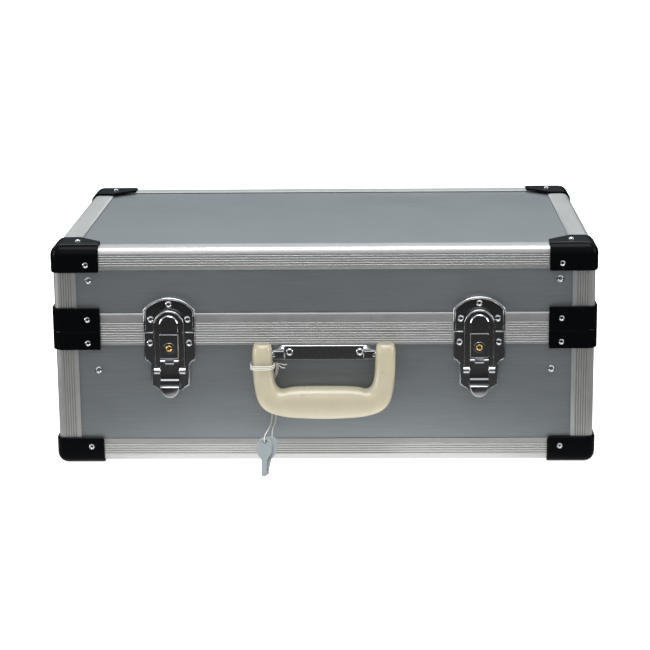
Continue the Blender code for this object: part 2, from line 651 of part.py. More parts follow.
def string_tube(points, closed=False):
    """Round string along (x, forward, height) points."""
    curve = bpy.data.curves.new("string", "CURVE")
    curve.dimensions = "3D"
    curve.bevel_depth = STRING_RADIUS
    curve.bevel_resolution = 2
    curve.use_fill_caps = not closed
    spline = curve.splines.new("POLY")
    route = smooth_route(points, closed)
    spline.points.add(len(route) - 1)
    for point, (x, forward, height) in zip(spline.points, route):
        point.co = (x, -HALF_Y - forward, height, 1)
    spline.use_cyclic_u = closed
    return evaluated_mesh(scratch_object("string", curve))


def key_place(turn, sideways, forward):
    """Matrix that stands a flat key (x across, y up its length) on its tip, leaning back."""
    tip_x, tip_forward, tip_height = KEY_TIP
    place = Matrix.Translation((tip_x + sideways, -HALF_Y - tip_forward - forward, tip_height))
    upright = Matrix.Rotation(-KEY_LEAN, 4, "X") @ Matrix.Rotation(math.pi / 2, 4, "X")
    return place @ upright @ Matrix.Rotation(turn, 4, "Z")


def key(turn, sideways, forward):
    """Flat key: round-shouldered head with a string hole, and a notched blade."""
    blade = [(-0.0026, 0.0000), (0.0014, 0.0000), (0.0028, 0.0016), (0.0022, 0.0032), (0.0028, 0.0050),
             (0.0020, 0.0066), (0.0028, 0.0084), (0.0024, 0.0100), (0.0028, 0.0120), (0.0028, 0.0150)]
    head = [(0.0042, 0.0172), (0.0068, 0.0215), (0.0068, 0.0300), (0.0046, 0.0345), (0.0018, 0.0360)]
    left = [(-0.0018, 0.0360), (-0.0046, 0.0345), (-0.0068, 0.0300), (-0.0068, 0.0215), (-0.0042, 0.0172),
            (-0.0026, 0.0150)]
    hole = [(u * 1.5, v) for u, v in arc(0.0, KEY_HOLE_UP, 0.0017, 0, 330, 11)]
    return extruded([blade + head + left, hole], -0.00085, 0.00085, key_place(turn, sideways, forward))


# ---- assembly -----------------------------------------------------------------------------------
def corner_turns():
    """Names, signs and turns of the four vertical corners."""
    return [("rear_right", 1, 1, 0), ("rear_left", -1, 1, 1),
            ("front_left", -1, -1, 2), ("front_right", 1, -1, 3)]


def add_corners(prefix, mesh, parent, material, height, upside_down=False):
    for corner, side_x, side_y, quarter in corner_turns():
        turn = quarter * math.pi / 2
        rotation = (math.pi, 0, math.pi / 2 + turn) if upside_down else (0, 0, turn)
        location = (side_x * HALF_X, side_y * HALF_Y, height)
        add_part(f"{prefix}_{corner}", mesh, material, parent, location, rotation)


def add_walls(half_name, parent, bottom, top):
    """Front, back, left and right panels between two heights."""
    outer_x = HALF_X - PANEL_INSET
    outer_y = HALF_Y - PANEL_INSET
    long_half = HALF_X - EDGE_RADIUS
    for name, side in (("front", -1), ("back", 1)):
        near, far = sorted((side * outer_y, side * (outer_y - PANEL)))
        wall = box((-long_half, near, bottom), (long_half, far, top))
        add_part(f"{half_name}_{name}_panel", wall, "panel", parent)
    short_half = outer_y - PANEL - GAP
    for name, side in (("left", -1), ("right", 1)):
        near, far = sorted((side * outer_x, side * (outer_x - PANEL)))
        wall = box((near, -short_half, bottom), (far, short_half, top))
        add_part(f"{half_name}_{name}_panel", wall, "panel", parent)


def tray(bottom, top, floor_low, floor_high):
    """Open lining: an outer block with its inside cut away, open at bottom or top."""
    outer_x = HALF_X - LINING_INSET
    outer_y = HALF_Y - LINING_INSET
    inner_x = outer_x - LINING
    inner_y = outer_y - LINING
    hollow = box((-inner_x, -inner_y, floor_low), (inner_x, inner_y, floor_high))
    return combined(box((-outer_x, -outer_y, bottom), (outer_x, outer_y, top)), [("DIFFERENCE", hollow)])


def build_case():
    base = joint_empty("base_frame", 0, 0, 0)
    lid = joint_empty("lid_hinge_axis", 0, HALF_Y + HINGE_AXIS_BACK, PARTING)

    # (height sign, how far cut back, height of the sharp edge) for the rails' corner under a cap
    lid_trims = ((0, TRIM_EDGE, 0.0), (1, TRIM_TIP, RAIL_TOP))
    base_trims = ((0, TRIM_EDGE, 0.0), (-1, TRIM_TIP, RAIL_BOTTOM))
    band_trims = ((0, TRIM_EDGE, 0.0),)
    add_part("lid_edge_frame", mitred_frame(shifted(edge_section(), RAIL_TOP), lid_trims), "rail", lid)
    add_part("base_edge_frame", mitred_frame(upturned(edge_section(), RAIL_BOTTOM), base_trims), "rail", base)
    add_part("lid_closing_frame", mitred_frame(lid_closing_section(), band_trims), "rail", lid)
    add_part("base_closing_frame", mitred_frame(base_closing_section(), band_trims), "rail", base)

    lid_low = PARTING + GAP / 2 + LID_BAND + GAP
    lid_post = extruded([post_section()], 0.0, RAIL_TOP - FLANGE - GAP - lid_low, PLAN)
    add_corners("lid_post", lid_post, lid, "rail", lid_low)
    base_low = RAIL_BOTTOM + FLANGE + GAP
    base_post = extruded([post_section()], 0.0, PARTING - GAP / 2 - BASE_BAND - GAP - base_low, PLAN)
    add_corners("base_post", base_post, base, "rail", base_low)

    cap = three_way_cap()
    add_corners("lid_top_corner", cap, lid, "black_plastic", RAIL_TOP)
    add_corners("base_bottom_corner", cap, base, "black_plastic", RAIL_BOTTOM, upside_down=True)
    add_corners("lid_closing_corner", two_way_cap(LID_CAP_HEIGHT), lid, "black_plastic", PARTING + GAP)
    add_corners("base_closing_corner", two_way_cap(BASE_CAP_HEIGHT), base, "black_plastic",
                PARTING - GAP - BASE_CAP_HEIGHT)

    panel_top = RAIL_TOP - PANEL_INSET
    panel_low = RAIL_BOTTOM + PANEL_INSET
    plan_x = HALF_X - EDGE_RADIUS
    plan_y = HALF_Y - EDGE_RADIUS
    top_sheet = box((-plan_x, -plan_y, panel_top - PANEL), (plan_x, plan_y, panel_top))
    bottom_sheet = box((-plan_x, -plan_y, panel_low), (plan_x, plan_y, panel_low + PANEL))
    add_part("lid_top_panel", top_sheet, "panel", lid)
    add_part("base_bottom_panel", bottom_sheet, "panel", base)
    web_top = PARTING + GAP / 2 + GAP + SHEET
    add_walls("lid", lid, web_top + GAP, panel_top - PANEL - GAP)
    web_under = PARTING - GAP / 2 - SHEET
    add_walls("base", base, panel_low + PANEL + GAP, web_under - GAP)

    lid_lining_low = PARTING + TONGUE + 0.0010
    lid_lining_top = panel_top - PANEL - GAP
    lid_tray = tray(lid_lining_low, lid_lining_top, lid_lining_low - 0.01, lid_lining_top - LINING)
    add_part("lid_lining", lid_tray, "lining", lid)
    base_lining_low = panel_low + PANEL + GAP
    base_tray = tray(base_lining_low, PARTING - 0.0005, base_lining_low + LINING, PARTING + 0.01)
    add_part("base_lining", base_tray, "lining", base)
    add_hinges(base, lid)
    add_latches(base, lid)
    add_handle(base)


def add_hinges(base, lid):
    spans = [(-0.0240, -0.0146), (-0.0143, -0.0049), (-0.0046, 0.0046), (0.0049, 0.0143), (0.0146, 0.0240)]
    base_leaf = hinge_leaf(-1, spans[0::2], with_pin=True)
    lid_leaf = hinge_leaf(1, spans[1::2], with_pin=False)
    for name, side in (("left", -1), ("right", 1)):
        add_part(f"hinge_{name}_base_leaf", base_leaf, "hinge_steel", base, (side * HINGE_X, 0, 0))
        add_part(f"hinge_{name}_lid_leaf", lid_leaf, "hinge_steel", lid, (side * HINGE_X, 0, 0))


def add_latches(base, lid):
    pieces = {"strike_plate": strike_plate(), "base_plate": base_plate(), "lever": latch_lever(),
              "hasp": latch_hasp(), "lock_cylinder": lock_cylinder()}
    for name, side in (("left", -1), ("right", 1)):
        x = side * LATCH_X
        lever_axis = joint_empty(f"latch_{name}_lever_axis", x, -HALF_Y - LEVER_AXIS[0], LEVER_AXIS[1])
        hasp_axis = joint_empty(f"latch_{name}_hasp_axis", x, -HALF_Y - HASP_AXIS[0], HASP_AXIS[1])
        lock_axis = joint_empty(f"latch_{name}_lock_axis", x, -HALF_Y, LOCK_HEIGHT)
        add_part(f"latch_{name}_strike_plate", pieces["strike_plate"], "chrome", lid, (x, 0, 0))
        add_part(f"latch_{name}_base_plate", pieces["base_plate"], "chrome", base, (x, 0, 0))
        add_part(f"latch_{name}_lever", pieces["lever"], "chrome", lever_axis, (x, 0, 0))
        add_part(f"latch_{name}_hasp", pieces["hasp"], "chrome", hasp_axis, (x, 0, 0))
        add_part(f"latch_{name}_lock_cylinder", pieces["lock_cylinder"], "brass", lock_axis, (x, 0, 0))


def add_handle(base):
    forward, height = HANDLE_AXIS
    pivot = joint_empty("handle_axis", 0, -HALF_Y - forward, height)
    hang = joint_empty("key_string_axis", KNOT[0], -HALF_Y - KNOT[1], KNOT[2])
    add_part("handle_bracket", handle_bracket(), "chrome", base)
    add_part("handle_grip", handle_grip(), "cream_plastic", pivot)
    middle_x, middle_forward, middle_height = LOOP_MIDDLE
    loop = []
    for step in range(LOOP_POINTS):
        angle = 2 * math.pi * step / LOOP_POINTS
        # a rounded rectangle round the leg
        across = math.copysign(abs(math.cos(angle)) ** 0.5, math.cos(angle))
        along = math.copysign(abs(math.sin(angle)) ** 0.5, math.sin(angle))
        loop.append((-middle_x + LOOP_REACH[0] * across, forward + middle_forward + LOOP_REACH[1] * along,
                     height + middle_height))
    add_part("key_string_loop", string_tube(loop, closed=True), "string", pivot)
    add_part("key_string", string_tube(STRING_ROUTE), "string", hang)
    add_part("key_front", key(0.0, 0.0, 0.0), "key_steel", hang)
    add_part("key_back", key(BACK_KEY_TURN, *BACK_KEY_SHIFT), "key_steel", hang)


clear_scene()
parts = new_collection("art_supply_box")
cutters = new_collection("cutters")
materials = {name: new_material(name) for name in COLOURS}
build_case()
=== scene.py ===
import json
import math

import bmesh
import bpy
from mathutils import Matrix, Vector


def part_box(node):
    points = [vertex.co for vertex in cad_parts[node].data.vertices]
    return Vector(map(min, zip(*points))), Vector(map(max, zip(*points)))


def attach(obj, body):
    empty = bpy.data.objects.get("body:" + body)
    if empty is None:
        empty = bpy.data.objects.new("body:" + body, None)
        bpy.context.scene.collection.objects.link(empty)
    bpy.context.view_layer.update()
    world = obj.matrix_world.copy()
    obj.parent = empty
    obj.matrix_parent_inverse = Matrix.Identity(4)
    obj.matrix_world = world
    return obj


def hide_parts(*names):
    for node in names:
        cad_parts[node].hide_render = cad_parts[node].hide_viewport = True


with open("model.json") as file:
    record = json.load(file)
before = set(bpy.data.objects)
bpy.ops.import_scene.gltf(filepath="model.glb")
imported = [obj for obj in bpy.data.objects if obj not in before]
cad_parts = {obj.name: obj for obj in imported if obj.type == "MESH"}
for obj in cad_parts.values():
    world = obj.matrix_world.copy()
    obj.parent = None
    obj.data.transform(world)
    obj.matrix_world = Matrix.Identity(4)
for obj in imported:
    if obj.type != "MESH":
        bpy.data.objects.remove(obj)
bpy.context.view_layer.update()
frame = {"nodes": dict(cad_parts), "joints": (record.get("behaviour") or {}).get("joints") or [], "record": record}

record = frame["record"]
cad = frame["nodes"]
joints = {joint["name"]: joint for joint in frame["joints"]}
slot_of = {part["node"]: part["material_slot"] for part in record["subparts"]}

rails_low, rails_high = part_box("base_edge_frame")
FACE_Y = rails_low.y                     # front of the edge rails
BACK_Y = rails_high.y
SIDE_X = rails_high.x
MIDDLE_Y = (FACE_Y + BACK_Y) / 2
LID_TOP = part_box("lid_edge_frame")[1].z
PANEL_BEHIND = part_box("lid_front_panel")[0].y - FACE_Y
CAP_STAND = FACE_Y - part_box("lid_top_corner_front_left")[0].y   # plastic corner proud of the rails
LATCH_X = joints["latch_right_lever_swing"]["pos_m"][0]
HOUSING_FORWARD = 0.0075                 # face of the lock housing
LOCK_HEIGHT = joints["latch_right_lock_turn"]["pos_m"][2]
PIVOT = joints["handle_swing"]["pos_m"]
PIVOT_FORWARD = FACE_Y - PIVOT[1]
PIVOT_HEIGHT = PIVOT[2]


def at(x, forward, height):
    """A point given by x, distance forward of the rails' front face, and height."""
    return Vector((x, FACE_Y - forward, height))


# ---- camera -------------------------------------------------------------------------------------
def add_camera():
    yaw, pitch, roll = (math.radians(angle) for angle in (-1.556, 13.253, -0.576))
    level = math.cos(pitch)
    ahead = Vector((math.sin(yaw) * level, math.cos(yaw) * level, -math.sin(pitch)))
    right = Vector((math.cos(yaw), -math.sin(yaw), 0))
    up = right.cross(ahead)
    right, up = (right * math.cos(roll) + up * math.sin(roll),
                 up * math.cos(roll) - right * math.sin(roll))
    camera = bpy.data.objects.new("camera", bpy.data.cameras.new("camera"))
    camera.data.sensor_width = 36
    camera.data.lens = 112.95
    camera.data.clip_end = 50
    turn = Matrix((right, up, -ahead)).transposed().to_4x4()
    camera.matrix_world = Matrix.Translation((0.0508, -1.9990 + MIDDLE_Y, 0.5651)) @ turn
    bpy.context.scene.collection.objects.link(camera)
    bpy.context.scene.camera = camera


add_camera()


# ---- finishes -----------------------------------------------------------------------------------
def finish(name, colour, roughness, metallic=0.0, grain=(60, 60, 60), tone=0.05, rough_spread=0.05,
           bump=0.0, smudge=0.04, settings=None, groove_shade_reach=0.0):
    """A material whose colour, roughness and surface vary with a stretched grain and with smudges; its colour can
    also carry painted shade in grooves.
    """
    material = bpy.data.materials.new(name)
    material.use_nodes = True
    tree = material.node_tree
    shader = tree.nodes["Principled BSDF"]
    shader.inputs["Metallic"].default_value = metallic
    for socket, value in (settings or {}).items():
        shader.inputs[socket].default_value = value

    def add(kind, **values):
        node = tree.nodes.new(kind)
        for key, value in values.items():
            node.inputs[key].default_value = value
        return node

    place = add("ShaderNodeTexCoord")
    stretch = add("ShaderNodeMapping", Scale=grain)
    fine = add("ShaderNodeTexNoise", Scale=1.0, Detail=4.0, Roughness=0.6)
    broad = add("ShaderNodeTexNoise", Scale=14.0, Detail=3.0, Roughness=0.55)
    tree.links.new(place.outputs["Object"], stretch.inputs["Vector"])
    tree.links.new(stretch.outputs["Vector"], fine.inputs["Vector"])
    tree.links.new(place.outputs["Object"], broad.inputs["Vector"])

    shade = tree.nodes.new("ShaderNodeValToRGB")
    shade.color_ramp.elements[0].position = 0.3
    shade.color_ramp.elements[1].position = 0.7
    shade.color_ramp.elements[0].color = (*[part * (1 - tone) for part in colour], 1)
    shade.color_ramp.elements[1].color = (*[min(part * (1 + tone), 1) for part in colour], 1)
    tree.links.new(fine.outputs["Fac"], shade.inputs["Fac"])
    tree.links.new(shade.outputs["Color"], shader.inputs["Base Color"])
    if groove_shade_reach:
        # painted shade: ambient occlusion darkens the base colour down in the grooves, within this distance
        groove_occlusion = add("ShaderNodeAmbientOcclusion", Distance=groove_shade_reach)
        groove_occlusion.samples = 8
        deeper = tree.nodes.new("ShaderNodeMath")
        deeper.operation = "POWER"
        deeper.inputs[1].default_value = 1.6
        painted_groove_shade = tree.nodes.new("ShaderNodeMix")
        painted_groove_shade.data_type = "RGBA"
        painted_groove_shade.blend_type = "MULTIPLY"
        painted_groove_shade.inputs["Factor"].default_value = 1.0
        tree.links.new(groove_occlusion.outputs["AO"], deeper.inputs[0])
        tree.links.new(shade.outputs["Color"], painted_groove_shade.inputs["A"])
        tree.links.new(deeper.outputs["Value"], painted_groove_shade.inputs["B"])
        tree.links.new(painted_groove_shade.outputs["Result"], shader.inputs["Base Color"])

    smoothest, roughest = roughness - rough_spread, roughness + rough_spread
    grain_rough = add("ShaderNodeMapRange", **{"From Min": 0.3, "From Max": 0.7,
                                               "To Min": smoothest, "To Max": roughest})
    worn_rough = add("ShaderNodeMapRange", **{"From Min": 0.35, "From Max": 0.7,
                                              "To Min": 0.0, "To Max": smudge})
    both = tree.nodes.new("ShaderNodeMath")
    tree.links.new(fine.outputs["Fac"], grain_rough.inputs["Value"])
    tree.links.new(broad.outputs["Fac"], worn_rough.inputs["Value"])
    tree.links.new(grain_rough.outputs["Result"], both.inputs[0])
    tree.links.new(worn_rough.outputs["Result"], both.inputs[1])
    tree.links.new(both.outputs["Value"], shader.inputs["Roughness"])
    if bump:
        relief = add("ShaderNodeBump", Strength=bump, Distance=0.0002)
        tree.links.new(fine.outputs["Fac"], relief.inputs["Height"])
        tree.links.new(relief.outputs["Normal"], shader.inputs["Normal"])
    return material


PANEL_COLOUR = (0.252, 0.274, 0.287)
RAIL_COLOUR = (0.58, 0.58, 0.565)
BRUSHED = {"tone": 0.07, "rough_spread": 0.06, "bump": 0.06}
TRANSLUCENT = {"Subsurface Weight": 0.35, "Subsurface Radius": (0.012, 0.009, 0.005), "Subsurface Scale": 0.8,
               "Coat Weight": 0.5, "Coat Roughness": 0.15}
finishes = {
    "panel": finish("panel_brushed_along_x", PANEL_COLOUR, 0.38, 0.75, (30, 700, 1400), **BRUSHED),
    "panel_side": finish("panel_brushed_along_y", PANEL_COLOUR, 0.38, 0.75, (700, 30, 1400), **BRUSHED),
    # the ribbed rails get painted shade in their grooves' base colour
    "rail": finish("ribbed_aluminium", RAIL_COLOUR, 0.38, 0.85, (140, 140, 140), 0.03, 0.03, groove_shade_reach=0.0012),
    "black_plastic": finish("black_plastic", (0.0016, 0.0019, 0.0022), 0.16, 0.0, (900, 900, 900),
                            0.2, 0.03, 0.04, settings={"Specular IOR Level": 0.05}),
    "chrome": finish("chrome", (0.66, 0.67, 0.69), 0.09, 1.0, (300, 300, 300), 0.03, 0.02),
    "brass": finish("brass", (0.72, 0.50, 0.20), 0.22, 1.0, (500, 500, 500), 0.08, 0.05, 0.05),
    "cream_plastic": finish("cream_plastic", (0.405, 0.366, 0.262), 0.28, 0.0, (90, 90, 90),
                            0.03, 0.04, 0.02, 0.06, settings=TRANSLUCENT),
    "lining": finish("lining_fabric", (0.035, 0.035, 0.038), 0.92, 0.0, (1400, 1400, 1400), 0.35, 0.04, 0.6),
    "hinge_steel": finish("zinc_plated_steel", (0.56, 0.57, 0.58), 0.32, 1.0, (160, 700, 160),
                          0.08, 0.07, 0.08),
    "key_steel": finish("nickel_plated_steel", (0.32, 0.36, 0.37), 0.40, 0.8, (700, 160, 700),
                        0.10, 0.07, 0.10),
    "string": finish("white_string", (0.60, 0.59, 0.54), 0.85, 0.0, (1800, 1800, 1800), 0.12, 0.05, 0.8),
}


# ---- CAD nodes ----------------------------------------------------------------------------------
def edge_modifiers(piece, width):
    """Weld the imported faces, drop flat splits and round the sharp edges, for shading."""
    weld = piece.modifiers.new("weld", "WELD")
    weld.merge_threshold = 0.00001
    flat = piece.modifiers.new("flat", "DECIMATE")
    flat.decimate_type = "DISSOLVE"
    flat.angle_limit = math.radians(0.4)
    if width:
        bevel = piece.modifiers.new("edges", "BEVEL")
        bevel.width = width
        bevel.segments = 2
        bevel.limit_method = "ANGLE"
        bevel.angle_limit = math.radians(35)
        bevel.harden_normals = False
        bevel.use_clamp_overlap = True
    normals = piece.modifiers.new("normals", "WEIGHTED_NORMAL")
    normals.keep_sharp = True


EDGE_WIDTH = {"panel": 0.0, "rail": 0.0001, "black_plastic": 0.0014, "chrome": 0.0005, "brass": 0.0002,
              "lining": 0.0, "hinge_steel": 0.0003, "key_steel": 0.00022}


def dress_cad():
    for name, node in cad.items():
        slot = slot_of[name]
        side_panel = slot == "panel" and ("left_panel" in name or "right_panel" in name)
        node.data.materials.clear()
        node.data.materials.append(finishes["panel_side" if side_panel else slot])
        node.data.polygons.foreach_set("use_smooth", [True] * len(node.data.polygons))
        if slot in EDGE_WIDTH:
            edge_modifiers(node, EDGE_WIDTH[slot])


# ---- new pieces ---------------------------------------------------------------------------------
def add_piece(name, mesh, slot, body, smooth=40):
    """A visible piece on one body, shaded smooth up to an angle between its faces."""
    piece = bpy.data.objects.new(name, mesh)
    bpy.context.scene.collection.objects.link(piece)
    mesh.materials.clear()
    mesh.materials.append(finishes[slot])
    mesh.shade_smooth()
    if smooth < 180:
        mesh.set_sharp_from_angle(angle=math.radians(smooth))
    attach(piece, body)
    return piece


def mesh_of(scratch):
    """The mesh that a scratch object's curve or modifiers make."""
    bpy.context.scene.collection.objects.link(scratch)
    bpy.context.view_layer.update()
    graph = bpy.context.evaluated_depsgraph_get()
    mesh = bpy.data.meshes.new_from_object(scratch.evaluated_get(graph))
    bpy.data.objects.remove(scratch, do_unlink=True)
    bm = bmesh.new()
    bm.from_mesh(mesh)
    bmesh.ops.remove_doubles(bm, verts=bm.verts, dist=0.000005)
    bmesh.ops.recalc_face_normals(bm, faces=bm.faces)
    bm.to_mesh(mesh)
    bm.free()
    return mesh


def turned(profile, segments=24):
    """Lathe a (radius, height) profile about Z."""
    bm = bmesh.new()
    ring = [bm.verts.new((radius, 0, height)) for radius, height in profile]
    edges = [bm.edges.new(pair) for pair in zip(ring, ring[1:])]
    bmesh.ops.spin(bm, geom=ring + edges, axis=(0, 0, 1), cent=(0, 0, 0), angle=2 * math.pi, steps=segments,
                   use_merge=True)
    bmesh.ops.remove_doubles(bm, verts=bm.verts, dist=0.000005)
    bmesh.ops.recalc_face_normals(bm, faces=bm.faces)
    mesh = bpy.data.meshes.new("turned")
    bm.to_mesh(mesh)
    bm.free()
    return mesh


def block(size_x, size_y, low, high):
    bm = bmesh.new()
    bmesh.ops.create_cube(bm, size=1.0, matrix=Matrix.Translation((0, 0, (low + high) / 2))
                          @ Matrix.Diagonal((size_x, size_y, high - low, 1)))
    mesh = bpy.data.meshes.new("block")
    bm.to_mesh(mesh)
    bm.free()
    return mesh


def screw_mesh(radius, height, crossed=True):
    """Screw head with a raised rim round a cross recess, or a domed rivet head."""
    foot = -0.0004
    if crossed:
        profile = [(0, foot), (radius, foot), (radius, 0.3 * height), (0.95 * radius, 0.75 * height),
                   (0.80 * radius, height), (0.62 * radius, 0.8 * height), (0.48 * radius, 0.4 * height),
                   (0, 0.3 * height)]
    else:
        dome = [(radius * math.cos(math.radians(t)), height * (0.35 + 0.65 * math.sin(math.radians(t))))
                for t in (0, 18, 36, 54, 72)]
        profile = [(0, foot), (radius, foot)] + dome + [(0, height)]
    body = bpy.data.objects.new("screw", turned(profile))
    if not crossed:
        return mesh_of(body)
    tools = []
    for size in ((radius * 0.9, radius * 0.28), (radius * 0.28, radius * 0.9)):
        tool = bpy.data.objects.new("slot", block(*size, -0.5 * height, height * 2))
        bpy.context.scene.collection.objects.link(tool)
        tools.append(tool)
        cut = body.modifiers.new("cut", "BOOLEAN")
        cut.operation = "DIFFERENCE"
        cut.solver = "EXACT"
        cut.object = tool
    mesh = mesh_of(body)
    for tool in tools:
        bpy.data.objects.remove(tool, do_unlink=True)
    return mesh


def scattered(name, template, places, slot, body):
    """Copies of a small mesh as one piece; places are (point, outward direction, turn)."""
    bm = bmesh.new()
    for point, outward, turn in places:
        copy = template.copy()
        facing = Vector((0, 0, 1)).rotation_difference(Vector(outward)).to_matrix().to_4x4()
        copy.transform(Matrix.Translation(point) @ facing @ Matrix.Rotation(turn, 4, "Z"))
        bm.from_mesh(copy)
        bpy.data.meshes.remove(copy)
    mesh = bpy.data.meshes.new(name)
    bm.to_mesh(mesh)
    bm.free()
    return add_piece(name, mesh, slot, body)


def smooth_line(points, steps=8):
    """Points along a smooth curve through the given ones."""
    curve = [Vector(point) for point in points]
    last = len(curve) - 1
    line = []
    for i in range(last):
        a, b, c, d = (curve[min(max(i + k, 0), last)] for k in (-1, 0, 1, 2))
        for step in range(steps):
            t = step / steps
            line.append(0.5 * (2 * b + (c - a) * t + (2 * a - 5 * b + 4 * c - d) * t ** 2
                               + (3 * b - a - 3 * c + d) * t ** 3))
    line.append(curve[-1])
    return line


def tube_curve(name, lines, radius):
    """A curve with a round section and filled ends along each line."""
    curve = bpy.data.curves.new(name, "CURVE")
    curve.dimensions = "3D"
    curve.bevel_depth = radius
    curve.bevel_resolution = 4
    curve.use_fill_caps = True
    for line in lines:
        spline = curve.splines.new("POLY")
        spline.points.add(len(line) - 1)
        for point, place in zip(spline.points, line):
            point.co = (*place, 1)
    return curve


def tube(name, lines, radius, slot, body):
    scratch = bpy.data.objects.new(name, tube_curve(name, lines, radius))
    return add_piece(name, mesh_of(scratch), slot, body, smooth=60)


# ---- screws and rivets --------------------------------------------------------------------------
CAP_SCREW_IN = 0.0310        # screws on the plastic corners, in from the rails' outer corner
FLAP_SCREW_IN = 0.0215       # screws on the top corners' flaps
CAP_SCREW_HEIGHTS = {"lid": (0.1908, 0.1393), "base": (0.0172, 0.1170)}
PANEL_SCREWS = (("lid", 0.0325, 0.1755), ("base", 0.0395, 0.0904))     # body, in from the side, height


def corner_screws():
    template = screw_mesh(0.0027, 0.0011)
    number = 0
    for body, heights in CAP_SCREW_HEIGHTS.items():
        places = []
        for side_x in (-1, 1):
            for side_y in (-1, 1):
                edge_y = FACE_Y if side_y < 0 else BACK_Y
                for height in heights:
                    number += 1
                    long_side = Vector((side_x * (SIDE_X - CAP_SCREW_IN),
                                        edge_y + side_y * CAP_STAND, height))
                    short_side = Vector((side_x * (SIDE_X + CAP_STAND),
                                         edge_y - side_y * CAP_SCREW_IN, height))
                    places.append((long_side, (0, side_y, 0), 0.7 * number))
                    places.append((short_side, (side_x, 0, 0), 1.1 * number))
                if body == "lid":
                    flap = Vector((side_x * (SIDE_X - FLAP_SCREW_IN), edge_y - side_y * FLAP_SCREW_IN,
                                   LID_TOP + CAP_STAND))
                    places.append((flap, (0, 0, 1), 0.5 * number))
        scattered(f"{body}_corner_screws", template, places, "chrome", body)


def panel_rivets():
    template = screw_mesh(0.0034, 0.0012)
    for body, in_x, height in PANEL_SCREWS:
        places = []
        for side_x in (-1, 1):
            for side_y in (-1, 1):
                face = (FACE_Y if side_y < 0 else BACK_Y) - side_y * PANEL_BEHIND
                places.append((Vector((side_x * (SIDE_X - in_x), face, height)), (0, side_y, 0), 0.4))
        scattered(f"{body}_panel_rivets", template, places, "chrome", body)


# Each latch, measured from its middle line: forward of the rails' face and height.
PLATE_FRONT = 0.0015
STRIKE_HALF = 0.0228         # the strike plate's rim: half width, top of the straight sides, rise of the arch
STRIKE_SHOULDER = 0.1480
STRIKE_RISE = 0.0107
STRIKE_LOW = 0.1286
HASP_HALF = 0.0134           # the hasp's rim
HASP_CENTRE = 0.1343
HASP_LOW = 0.0950
HASP_FRONT = 0.0064
WAIST_CENTRE = (0.0238, 0.0940)
WAIST_RADIUS = 0.0065
ARCH_STEPS = 24
LID_SCREWS = ((0, 0.1535, 0.2), (-0.0170, 0.1392, 0.9), (0.0170, 0.1392, 0.5))      # x, height, turn
BASE_SCREWS = ((-0.0180, 0.1168, 0.4), (0.0180, 0.1168, 1.2))
RIVET_X = 0.0118
RIVET_HEIGHT = 0.0895


def on_circle(centre, radius, degrees):
    """(across, up) on a circle."""
    turn = math.radians(degrees)
    return centre[0] + radius * math.cos(turn), centre[1] + radius * math.sin(turn)


def latch_screws(side, x):
    head = screw_mesh(0.0031, 0.0013)
    rivet = screw_mesh(0.0021, 0.0010, crossed=False)
    for body, screws in (("lid", LID_SCREWS), ("base", BASE_SCREWS)):
        places = [(at(x + dx, PLATE_FRONT, height), (0, -1, 0), turn) for dx, height, turn in screws]
        scattered(f"latch_{side}_{body}_screws", head, places, "chrome", body)
    rivets = [(at(x + dx, PLATE_FRONT, RIVET_HEIGHT), (0, -1, 0), 0.0) for dx in (-RIVET_X, RIVET_X)]
    scattered(f"latch_{side}_base_rivets", rivet, rivets, "chrome", "base")


def latch_rims(side, x):
    """Rolled edges of the strike plate, the base plate and the hasp."""
    radius = (STRIKE_HALF ** 2 + STRIKE_RISE ** 2) / (2 * STRIKE_RISE)
    spread = math.asin(STRIKE_HALF / radius)
    centre = STRIKE_SHOULDER + STRIKE_RISE - radius
    arch = [at(x + radius * math.sin(t), PLATE_FRONT, centre + radius * math.cos(t))
            for t in [spread * (2 * i / ARCH_STEPS - 1) for i in range(ARCH_STEPS + 1)]]
    first, last = [at(x + way * STRIKE_HALF, PLATE_FRONT, STRIKE_LOW) for way in (-1, 1)]
    tube(f"latch_{side}_strike_rim", [[first] + arch + [last]], 0.0012, "chrome", "lid")

    waist = [on_circle(WAIST_CENTRE, WAIST_RADIUS, degrees) for degrees in range(100, 181, 10)]
    edge = [(0.0152, 0.1266), (0.0232, 0.1266), (0.0233, 0.1030)] + waist
    edge += [(0.0173, 0.0767), (0.0100, 0.0722)]
    tube(f"latch_{side}_base_rim", [[at(x + way * u, 0.0013, v) for u, v in edge] for way in (-1, 1)], 0.0006,
         "chrome", "base")

    arc = [at(x - HASP_HALF * math.cos(t), HASP_FRONT, HASP_CENTRE + HASP_HALF * math.sin(t))
           for t in [math.pi * i / ARCH_STEPS for i in range(ARCH_STEPS + 1)]]
    hasp_rim = [at(x - HASP_HALF, HASP_FRONT, HASP_LOW)] + arc + [at(x + HASP_HALF, HASP_FRONT, HASP_LOW)]
    tube(f"latch_{side}_hasp_rim", [hasp_rim], 0.0008, "chrome", f"latch_{side}_hasp")


def latch_fittings():
    """Screws, rivets, rims, lock rings and thumb pads of both latches."""
    for side, x in (("left", -LATCH_X), ("right", LATCH_X)):
        latch_screws(side, x)
        latch_rims(side, x)
        place = [(at(x, HOUSING_FORWARD, LOCK_HEIGHT), (0, -1, 0), 0.0)]
        bezel = turned([(0.0028, 0.0006), (0.0050, -0.0004), (0.0052, -0.0004), (0.0052, 0.0004),
                        (0.0050, 0.0007), (0.0029, 0.0008), (0.0028, 0.0006)], 32)
        scattered(f"latch_{side}_lock_bezel", bezel, place, "chrome", "base")
        collar = turned([(0.0019, 0.0005), (0.0029, 0.0005), (0.0029, 0.0010), (0.0024, 0.0014),
                         (0.0019, 0.0010), (0.0019, 0.0005)], 32)
        scattered(f"latch_{side}_lock_collar", collar, place, "brass", "base")
        pad = thumb_pad()
        pad.transform(Matrix.Translation((x, 0, 0)))
        add_piece(f"latch_{side}_thumb_pad", pad, "chrome", f"latch_{side}_lever")


